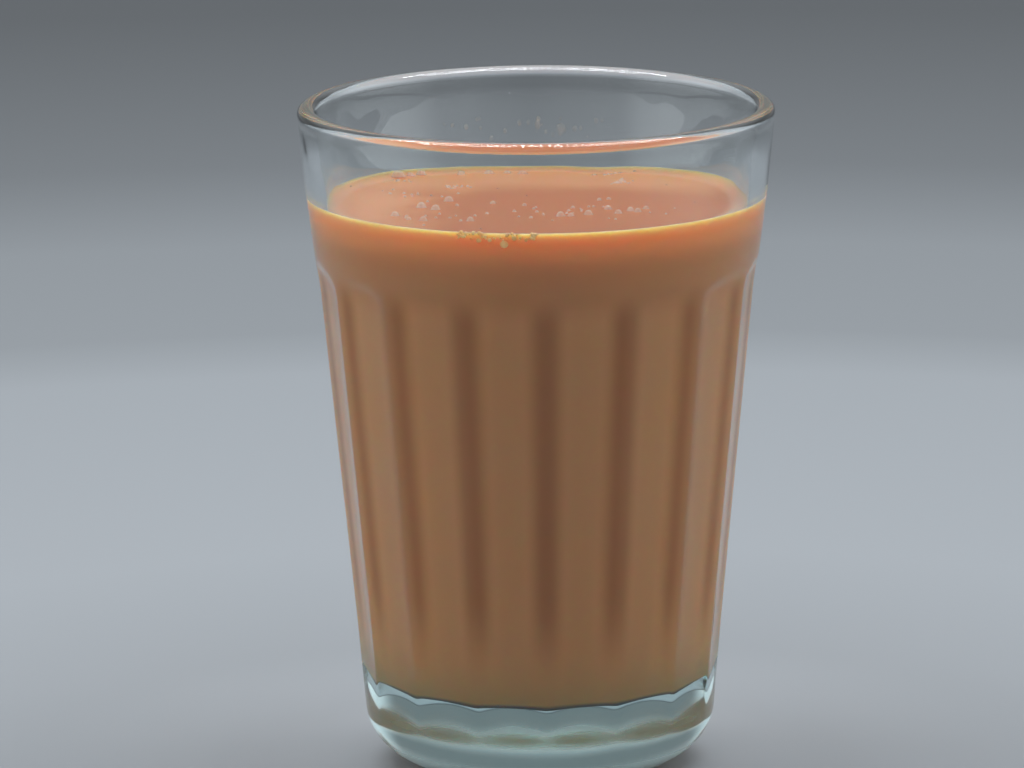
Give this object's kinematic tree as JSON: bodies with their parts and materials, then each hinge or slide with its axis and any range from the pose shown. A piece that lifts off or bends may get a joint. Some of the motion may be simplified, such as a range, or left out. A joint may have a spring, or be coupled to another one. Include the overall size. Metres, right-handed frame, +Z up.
{
  "type": "glass of milky coffee",
  "caption": "Fluted pressed-glass tumbler with a rounded rim and a thick clear base, filled to just under the rim with milky coffee.",
  "frame": {"origin": "middle of the underside, on the plane that the glass stands on", "axes": "+Z up along the glass's axis; a ridge between two flutes lies on -Y, the side that the picture shows"},
  "size_m": [0.0726, 0.0726, 0.102],
  "materials": {
    "clear_glass": "smooth fire-polished pressed glass, clear with a faint green-blue tint in the thick base",
    "milky_coffee": "opaque milky brown liquid with a wet surface, light passing a few millimetres into it"
  },
  "bodies": {
    "root": {"glass": "clear_glass", "coffee": "milky_coffee"}
  },
  "joints": []
}
